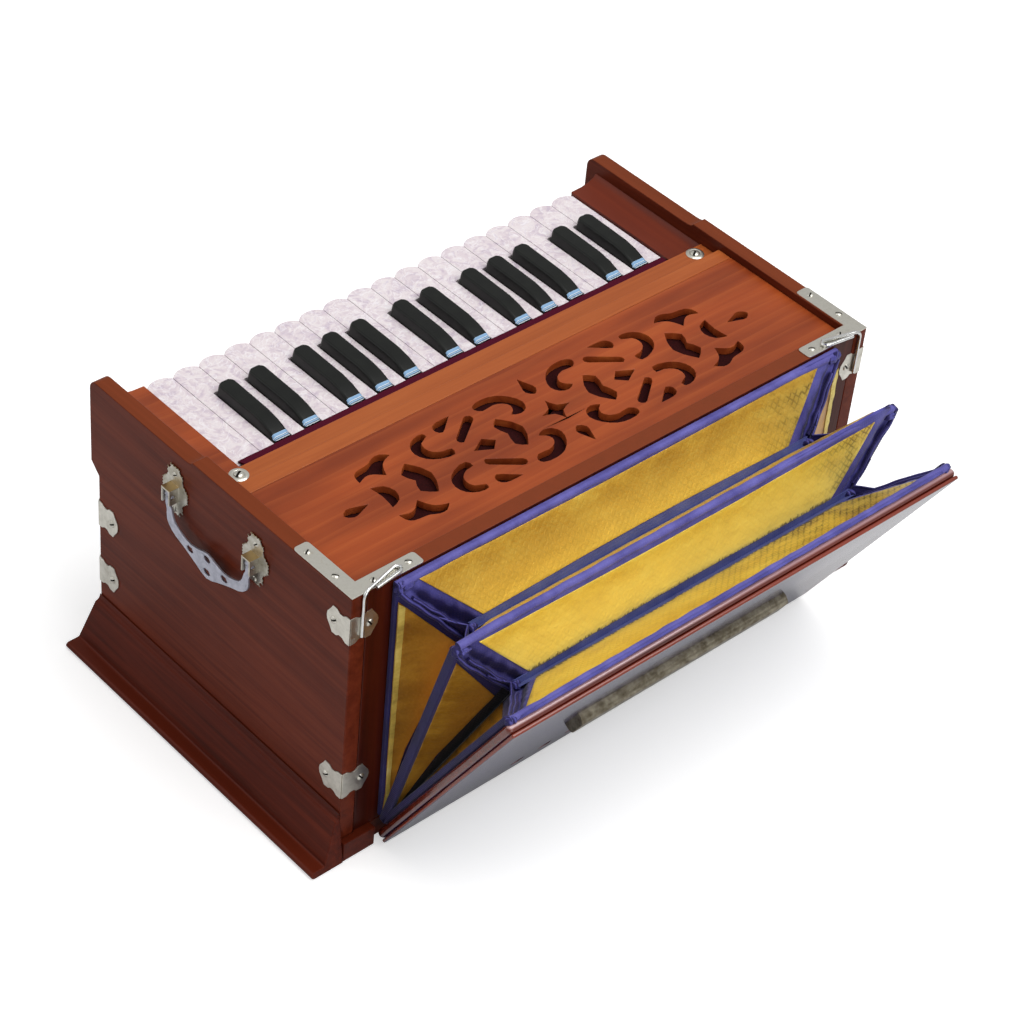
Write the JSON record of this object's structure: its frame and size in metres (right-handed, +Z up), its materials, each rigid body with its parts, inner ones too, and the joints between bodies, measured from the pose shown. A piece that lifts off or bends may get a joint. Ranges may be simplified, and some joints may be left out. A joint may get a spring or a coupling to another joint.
{
  "type": "hand-pumped reed organ",
  "caption": "Portable wooden reed organ with a keyboard, a fretwork sound cover, folding hand bellows, wire latches and two carrying handles.",
  "frame": {"origin": "middle of the case's underside, on the surface it stands on", "axes": "+Z up, +X towards the bass end, +Y towards the player, -Y towards the bellows"},
  "size_m": [0.5356, 0.4198, 0.2444],
  "materials": {
    "side_mahogany": "dark mahogany stain under gloss lacquer",
    "plinth_mahogany": "dark red-brown stain under gloss lacquer",
    "rear_panel_wood": "red-brown stain under gloss lacquer",
    "top_wood": "orange-brown stain under satin lacquer",
    "inner_wood": "bare planed softwood",
    "reed_brass": "rolled brass",
    "nickel": "bright nickel plate, a little worn",
    "bellows_cloth": "purple-blue binding cloth",
    "gold_foil": "embossed gold foil on card",
    "board_wood": "red-brown stain under high gloss lacquer",
    "grip_metal": "aged nickel plate",
    "key_white": "pearl celluloid on wood",
    "key_black": "green-black, satin",
    "knob_black": "turned and polished black"
  },
  "bodies": {
    "case": {"bass_side_panel": "side_mahogany", "treble_side_panel": "side_mahogany", "bass_plinth": "plinth_mahogany", "treble_plinth": "plinth_mahogany", "floor_board": "plinth_mahogany", "rear_panel": "rear_panel_wood", "front_panel": "top_wood", "key_bed": "inner_wood", "reed_bank": "reed_brass", "bass_key_block": "top_wood", "treble_key_block": "top_wood", "key_rail": "top_wood", "fretwork_board": "top_wood", "bass_front_escutcheon": "nickel", "treble_front_escutcheon": "nickel", "bass_rear_escutcheon": "nickel", "treble_rear_escutcheon": "nickel", "bellows_case_frame": "bellows_cloth", "bellows_inner_folds": "gold_foil"},
    "white_key_01": {"white_key_01": "key_white"},
    "white_key_02": {"white_key_02": "key_white"},
    "white_key_03": {"white_key_03": "key_white"},
    "white_key_04": {"white_key_04": "key_white"},
    "white_key_05": {"white_key_05": "key_white"},
    "white_key_06": {"white_key_06": "key_white"},
    "white_key_07": {"white_key_07": "key_white"},
    "white_key_08": {"white_key_08": "key_white"},
    "white_key_09": {"white_key_09": "key_white"},
    "white_key_10": {"white_key_10": "key_white"},
    "white_key_11": {"white_key_11": "key_white"},
    "white_key_12": {"white_key_12": "key_white"},
    "white_key_13": {"white_key_13": "key_white"},
    "white_key_14": {"white_key_14": "key_white"},
    "white_key_15": {"white_key_15": "key_white"},
    "white_key_16": {"white_key_16": "key_white"},
    "white_key_17": {"white_key_17": "key_white"},
    "white_key_18": {"white_key_18": "key_white"},
    "black_key_01": {"black_key_01": "key_black"},
    "black_key_02": {"black_key_02": "key_black"},
    "black_key_03": {"black_key_03": "key_black"},
    "black_key_04": {"black_key_04": "key_black"},
    "black_key_05": {"black_key_05": "key_black"},
    "black_key_06": {"black_key_06": "key_black"},
    "black_key_07": {"black_key_07": "key_black"},
    "black_key_08": {"black_key_08": "key_black"},
    "black_key_09": {"black_key_09": "key_black"},
    "black_key_10": {"black_key_10": "key_black"},
    "black_key_11": {"black_key_11": "key_black"},
    "black_key_12": {"black_key_12": "key_black"},
    "bellows_ridge": {"bellows_ridge_frame": "bellows_cloth", "bellows_outer_folds": "gold_foil"},
    "bellows_outer_board": {"bellows_board": "board_wood", "bellows_grip": "grip_metal"},
    "bass_latch": {"bass_latch": "nickel"},
    "treble_latch": {"treble_latch": "nickel"},
    "bass_handle": {"bass_handle": "nickel"},
    "treble_handle": {"treble_handle": "nickel"},
    "stop_knob_1": {"stop_knob_1": "knob_black"},
    "stop_knob_2": {"stop_knob_2": "knob_black"},
    "stop_knob_3": {"stop_knob_3": "knob_black"}
  },
  "joints": [
    {"name": "white_key_01_pivot", "type": "hinge", "parent": "case", "child": "white_key_01", "pos_m": [0.19537, 0.02, 0.205], "axis": [-1, 0, 0], "range_deg": [0, 3], "stiffness_Nm_per_rad": 0.3, "springref_deg": -11.46},
    {"name": "white_key_02_pivot", "type": "hinge", "parent": "case", "child": "white_key_02", "pos_m": [0.16815, 0.02, 0.205], "axis": [-1, 0, 0], "range_deg": [0, 3], "stiffness_Nm_per_rad": 0.3, "springref_deg": -11.46},
    {"name": "white_key_03_pivot", "type": "hinge", "parent": "case", "child": "white_key_03", "pos_m": [0.14093, 0.02, 0.205], "axis": [-1, 0, 0], "range_deg": [0, 3], "stiffness_Nm_per_rad": 0.3, "springref_deg": -11.46},
    {"name": "white_key_04_pivot", "type": "hinge", "parent": "case", "child": "white_key_04", "pos_m": [0.12881, 0.02, 0.205], "axis": [-1, 0, 0], "range_deg": [0, 3], "stiffness_Nm_per_rad": 0.3, "springref_deg": -11.46},
    {"name": "white_key_05_pivot", "type": "hinge", "parent": "case", "child": "white_key_05", "pos_m": [0.10259, 0.02, 0.205], "axis": [-1, 0, 0], "range_deg": [0, 3], "stiffness_Nm_per_rad": 0.3, "springref_deg": -11.46},
    {"name": "white_key_06_pivot", "type": "hinge", "parent": "case", "child": "white_key_06", "pos_m": [0.07677, 0.02, 0.205], "axis": [-1, 0, 0], "range_deg": [0, 3], "stiffness_Nm_per_rad": 0.3, "springref_deg": -11.46},
    {"name": "white_key_07_pivot", "type": "hinge", "parent": "case", "child": "white_key_07", "pos_m": [0.05055, 0.02, 0.205], "axis": [-1, 0, 0], "range_deg": [0, 3], "stiffness_Nm_per_rad": 0.3, "springref_deg": -11.46},
    {"name": "white_key_08_pivot", "type": "hinge", "parent": "case", "child": "white_key_08", "pos_m": [0.03843, 0.02, 0.205], "axis": [-1, 0, 0], "range_deg": [0, 3], "stiffness_Nm_per_rad": 0.3, "springref_deg": -11.46},
    {"name": "white_key_09_pivot", "type": "hinge", "parent": "case", "child": "white_key_09", "pos_m": [0.01121, 0.02, 0.205], "axis": [-1, 0, 0], "range_deg": [0, 3], "stiffness_Nm_per_rad": 0.3, "springref_deg": -11.46},
    {"name": "white_key_10_pivot", "type": "hinge", "parent": "case", "child": "white_key_10", "pos_m": [-0.01601, 0.02, 0.205], "axis": [-1, 0, 0], "range_deg": [0, 3], "stiffness_Nm_per_rad": 0.3, "springref_deg": -11.46},
    {"name": "white_key_11_pivot", "type": "hinge", "parent": "case", "child": "white_key_11", "pos_m": [-0.02813, 0.02, 0.205], "axis": [-1, 0, 0], "range_deg": [0, 3], "stiffness_Nm_per_rad": 0.3, "springref_deg": -11.46},
    {"name": "white_key_12_pivot", "type": "hinge", "parent": "case", "child": "white_key_12", "pos_m": [-0.05435, 0.02, 0.205], "axis": [-1, 0, 0], "range_deg": [0, 3], "stiffness_Nm_per_rad": 0.3, "springref_deg": -11.46},
    {"name": "white_key_13_pivot", "type": "hinge", "parent": "case", "child": "white_key_13", "pos_m": [-0.08017, 0.02, 0.205], "axis": [-1, 0, 0], "range_deg": [0, 3], "stiffness_Nm_per_rad": 0.3, "springref_deg": -11.46},
    {"name": "white_key_14_pivot", "type": "hinge", "parent": "case", "child": "white_key_14", "pos_m": [-0.10639, 0.02, 0.205], "axis": [-1, 0, 0], "range_deg": [0, 3], "stiffness_Nm_per_rad": 0.3, "springref_deg": -11.46},
    {"name": "white_key_15_pivot", "type": "hinge", "parent": "case", "child": "white_key_15", "pos_m": [-0.11851, 0.02, 0.205], "axis": [-1, 0, 0], "range_deg": [0, 3], "stiffness_Nm_per_rad": 0.3, "springref_deg": -11.46},
    {"name": "white_key_16_pivot", "type": "hinge", "parent": "case", "child": "white_key_16", "pos_m": [-0.14573, 0.02, 0.205], "axis": [-1, 0, 0], "range_deg": [0, 3], "stiffness_Nm_per_rad": 0.3, "springref_deg": -11.46},
    {"name": "white_key_17_pivot", "type": "hinge", "parent": "case", "child": "white_key_17", "pos_m": [-0.17295, 0.02, 0.205], "axis": [-1, 0, 0], "range_deg": [0, 3], "stiffness_Nm_per_rad": 0.3, "springref_deg": -11.46},
    {"name": "white_key_18_pivot", "type": "hinge", "parent": "case", "child": "white_key_18", "pos_m": [-0.19057, 0.02, 0.205], "axis": [-1, 0, 0], "range_deg": [0, 3], "stiffness_Nm_per_rad": 0.3, "springref_deg": -11.46},
    {"name": "black_key_01_pivot", "type": "hinge", "parent": "case", "child": "black_key_01", "pos_m": [0.18136, 0.02, 0.205], "axis": [-1, 0, 0], "range_deg": [0, 3], "stiffness_Nm_per_rad": 0.3, "springref_deg": -11.46},
    {"name": "black_key_02_pivot", "type": "hinge", "parent": "case", "child": "black_key_02", "pos_m": [0.15494, 0.02, 0.205], "axis": [-1, 0, 0], "range_deg": [0, 3], "stiffness_Nm_per_rad": 0.3, "springref_deg": -11.46},
    {"name": "black_key_03_pivot", "type": "hinge", "parent": "case", "child": "black_key_03", "pos_m": [0.1155, 0.02, 0.205], "axis": [-1, 0, 0], "range_deg": [0, 3], "stiffness_Nm_per_rad": 0.3, "springref_deg": -11.46},
    {"name": "black_key_04_pivot", "type": "hinge", "parent": "case", "child": "black_key_04", "pos_m": [0.08968, 0.02, 0.205], "axis": [-1, 0, 0], "range_deg": [0, 3], "stiffness_Nm_per_rad": 0.3, "springref_deg": -11.46},
    {"name": "black_key_05_pivot", "type": "hinge", "parent": "case", "child": "black_key_05", "pos_m": [0.06386, 0.02, 0.205], "axis": [-1, 0, 0], "range_deg": [0, 3], "stiffness_Nm_per_rad": 0.3, "springref_deg": -11.46},
    {"name": "black_key_06_pivot", "type": "hinge", "parent": "case", "child": "black_key_06", "pos_m": [0.02442, 0.02, 0.205], "axis": [-1, 0, 0], "range_deg": [0, 3], "stiffness_Nm_per_rad": 0.3, "springref_deg": -11.46},
    {"name": "black_key_07_pivot", "type": "hinge", "parent": "case", "child": "black_key_07", "pos_m": [-0.002, 0.02, 0.205], "axis": [-1, 0, 0], "range_deg": [0, 3], "stiffness_Nm_per_rad": 0.3, "springref_deg": -11.46},
    {"name": "black_key_08_pivot", "type": "hinge", "parent": "case", "child": "black_key_08", "pos_m": [-0.04144, 0.02, 0.205], "axis": [-1, 0, 0], "range_deg": [0, 3], "stiffness_Nm_per_rad": 0.3, "springref_deg": -11.46},
    {"name": "black_key_09_pivot", "type": "hinge", "parent": "case", "child": "black_key_09", "pos_m": [-0.06726, 0.02, 0.205], "axis": [-1, 0, 0], "range_deg": [0, 3], "stiffness_Nm_per_rad": 0.3, "springref_deg": -11.46},
    {"name": "black_key_10_pivot", "type": "hinge", "parent": "case", "child": "black_key_10", "pos_m": [-0.09308, 0.02, 0.205], "axis": [-1, 0, 0], "range_deg": [0, 3], "stiffness_Nm_per_rad": 0.3, "springref_deg": -11.46},
    {"name": "black_key_11_pivot", "type": "hinge", "parent": "case", "child": "black_key_11", "pos_m": [-0.13252, 0.02, 0.205], "axis": [-1, 0, 0], "range_deg": [0, 3], "stiffness_Nm_per_rad": 0.3, "springref_deg": -11.46},
    {"name": "black_key_12_pivot", "type": "hinge", "parent": "case", "child": "black_key_12", "pos_m": [-0.15894, 0.02, 0.205], "axis": [-1, 0, 0], "range_deg": [0, 3], "stiffness_Nm_per_rad": 0.3, "springref_deg": -11.46},
    {"name": "bellows_ridge_hinge", "type": "hinge", "parent": "case", "child": "bellows_ridge", "pos_m": [0, -0.14, 0.008], "axis": [1, 0, 0], "range_deg": [-11.5, 3], "deforming": ["bellows_inner_folds"]},
    {"name": "bellows_board_hinge", "type": "hinge", "parent": "bellows_ridge", "child": "bellows_outer_board", "pos_m": [0, -0.14, 0.008], "axis": [1, 0, 0], "range_deg": [-11.5, 3], "deforming": ["bellows_outer_folds"]},
    {"name": "bass_latch_swing", "type": "hinge", "parent": "case", "child": "bass_latch", "pos_m": [0.233, -0.1376, 0.22], "axis": [0, 0, 1], "range_deg": [0, 105]},
    {"name": "treble_latch_swing", "type": "hinge", "parent": "case", "child": "treble_latch", "pos_m": [-0.233, -0.1376, 0.22], "axis": [0, 0, -1], "range_deg": [0, 105]},
    {"name": "bass_handle_swing", "type": "hinge", "parent": "case", "child": "bass_handle", "pos_m": [0.2464, 0.0045, 0.2035], "axis": [0, -1, 0], "range_deg": [-6, 95]},
    {"name": "treble_handle_swing", "type": "hinge", "parent": "case", "child": "treble_handle", "pos_m": [-0.2464, 0.0045, 0.2035], "axis": [0, 1, 0], "range_deg": [-6, 95]},
    {"name": "stop_1_slide", "type": "slide", "parent": "case", "child": "stop_knob_1", "axis": [0, 1, 0], "range_m": [0, 0.015]},
    {"name": "stop_2_slide", "type": "slide", "parent": "case", "child": "stop_knob_2", "axis": [0, 1, 0], "range_m": [0, 0.015]},
    {"name": "stop_3_slide", "type": "slide", "parent": "case", "child": "stop_knob_3", "axis": [0, 1, 0], "range_m": [0, 0.015]}
  ],
  "couplings": [
    {"joint": "bellows_board_hinge", "follows": "bellows_ridge_hinge", "ratio": 1}
  ]
}
